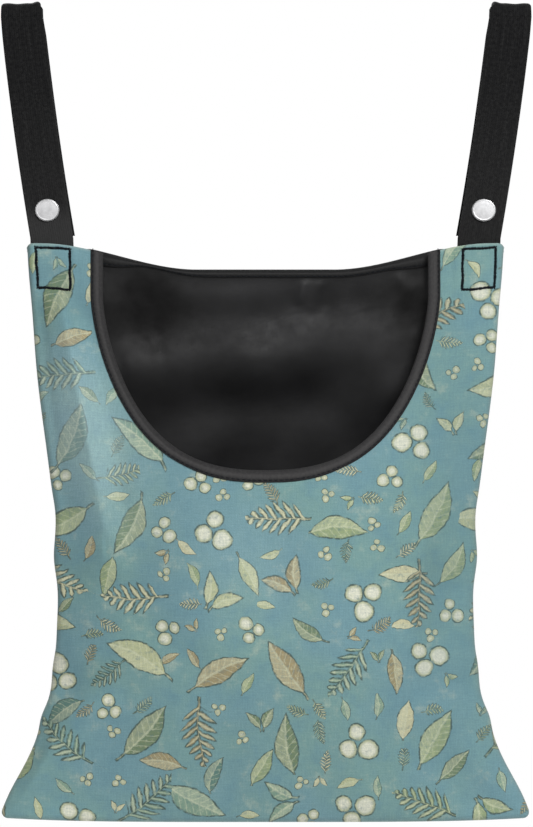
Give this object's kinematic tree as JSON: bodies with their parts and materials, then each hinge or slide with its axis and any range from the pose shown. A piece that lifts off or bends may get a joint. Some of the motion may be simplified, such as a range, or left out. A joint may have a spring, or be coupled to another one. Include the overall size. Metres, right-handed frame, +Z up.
{
  "type": "peg bag",
  "caption": "Lined cloth pouch for clothes pegs with a bound, scooped front opening, hung from a washing line or rail by webbing loops that close with press snaps.",
  "frame": {"origin": "on the axis of the line that the loops hang on, midway between the loops", "axes": "+X to the right seen from the front, +Y to the back, +Z up; the scooped mouth faces -Y"},
  "size_m": [0.309, 0.0692, 0.4744],
  "materials": {
    "printed_cloth": "printed plain-weave cotton, matt",
    "lining_cloth": "black satin-weave lining, slight sheen",
    "binding_tape": "black folded tape",
    "webbing": "black ribbed webbing, matt",
    "thread": "black sewing thread",
    "cap_metal": "nickel-plated, satin",
    "snap_metal": "nickel-plated"
  },
  "bodies": {
    "left_strap": {"left_strap_leg": "webbing", "left_snap_cap": "cap_metal", "left_snap_socket": "snap_metal", "left_snap_spring": "snap_metal"},
    "bag": {"front_panel": "printed_cloth", "back_panel": "printed_cloth", "front_lining": "lining_cloth", "back_lining": "lining_cloth", "scoop_binding": "binding_tape", "scoop_binding_stitching": "thread", "back_top_binding": "binding_tape", "back_top_stitching": "thread", "outer_seam_stitching": "thread", "left_strap_tab": "webbing", "right_strap_tab": "webbing", "left_box_stitching": "thread", "right_box_stitching": "thread"},
    "right_strap": {"right_strap_leg": "webbing", "right_snap_cap": "cap_metal", "right_snap_socket": "snap_metal", "right_snap_spring": "snap_metal"},
    "left_tail": {"left_strap_tail": "webbing", "left_snap_stud": "snap_metal", "left_snap_eyelet": "snap_metal"},
    "right_tail": {"right_strap_tail": "webbing", "right_snap_stud": "snap_metal", "right_snap_eyelet": "snap_metal"}
  },
  "joints": [
    {"name": "bag_swing", "type": "hinge", "parent": "left_strap", "child": "bag", "pos_m": [0, -0.00285, -0.128], "axis": [1, 0, 0], "range_deg": [-130, 40]},
    {"name": "right_strap_swing", "type": "hinge", "parent": "bag", "child": "right_strap", "pos_m": [0, -0.00285, -0.128], "axis": [1, 0, 0], "range_deg": [-40, 130]},
    {"name": "left_tail_open", "type": "hinge", "parent": "left_strap", "child": "left_tail", "pos_m": [-0.142, 0, 0.0074], "axis": [1, 0, 0], "range_deg": [0, 110]},
    {"name": "right_tail_open", "type": "hinge", "parent": "right_strap", "child": "right_tail", "pos_m": [0.142, 0, 0.0074], "axis": [1, 0, 0], "range_deg": [0, 110]}
  ],
  "couplings": [
    {"joint": "right_strap_swing", "follows": "bag_swing", "ratio": -1}
  ]
}
